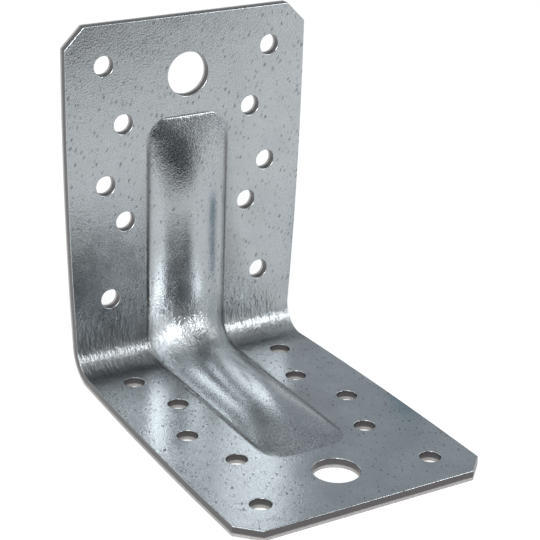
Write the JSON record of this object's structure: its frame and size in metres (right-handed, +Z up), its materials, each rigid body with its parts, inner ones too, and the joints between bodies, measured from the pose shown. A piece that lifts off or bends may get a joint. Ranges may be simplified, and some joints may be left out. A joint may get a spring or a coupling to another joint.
{
  "type": "reinforced angle bracket",
  "caption": "Folded galvanised steel angle bracket with a pressed stiffening rib through the fold, nail holes and a bolt hole in each leg.",
  "frame": {"origin": "centre of the bounding box's footprint, at the underside of the base leg", "axes": "+Z up the upright leg, +Y out through its back face, +X across the width; the base leg runs towards -Y"},
  "size_m": [0.065, 0.0896, 0.09],
  "materials": {
    "sheet": "hot-dip galvanised, satin"
  },
  "bodies": {
    "root": {"bracket": "sheet"}
  },
  "joints": []
}
